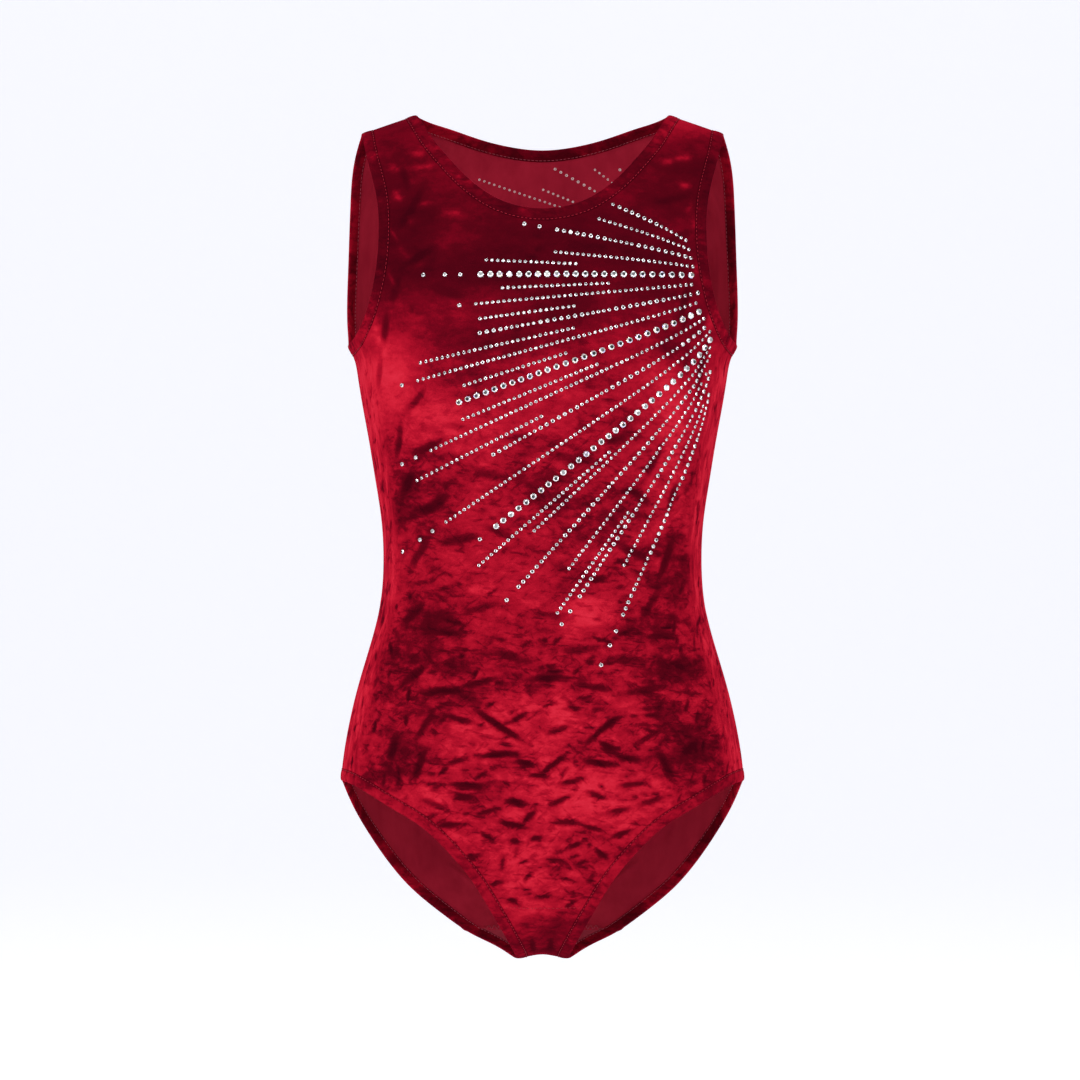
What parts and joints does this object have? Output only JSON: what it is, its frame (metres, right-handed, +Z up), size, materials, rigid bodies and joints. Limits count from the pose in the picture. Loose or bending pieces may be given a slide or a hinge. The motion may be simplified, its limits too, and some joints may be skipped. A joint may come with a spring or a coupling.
{
  "type": "gymnastics leotard",
  "caption": "Sleeveless gymnastics leotard in crushed stretch velvet with a scoop neck, filled out as worn and hollow, with elasticated edges and a crystal ray ornament on the chest.",
  "frame": {"origin": "midway between the two shoulder seams, at the middle of their height, where the wearer's shoulders hold the garment", "axes": "+Z up, the garment's front faces -Y, the wearer's left side is +X"},
  "size_m": [0.2824, 0.1974, 0.5901],
  "materials": {
    "velvet": "crushed stretch velvet, wine to bright red",
    "hem": "the same velvet turned in over elastic and stitched",
    "lining": "soft matte knit",
    "knit_back": "matte knitted back of the velvet",
    "thread": "polyester sewing thread",
    "crystal": "foil-backed cut glass"
  },
  "bodies": {
    "root": {"front": "velvet", "back": "velvet", "crotch_lining": "lining", "neck_hem": "hem", "armhole_hem_right": "hem", "armhole_hem_left": "hem", "leg_hem_right": "hem", "leg_hem_left": "hem"}
  },
  "joints": []
}
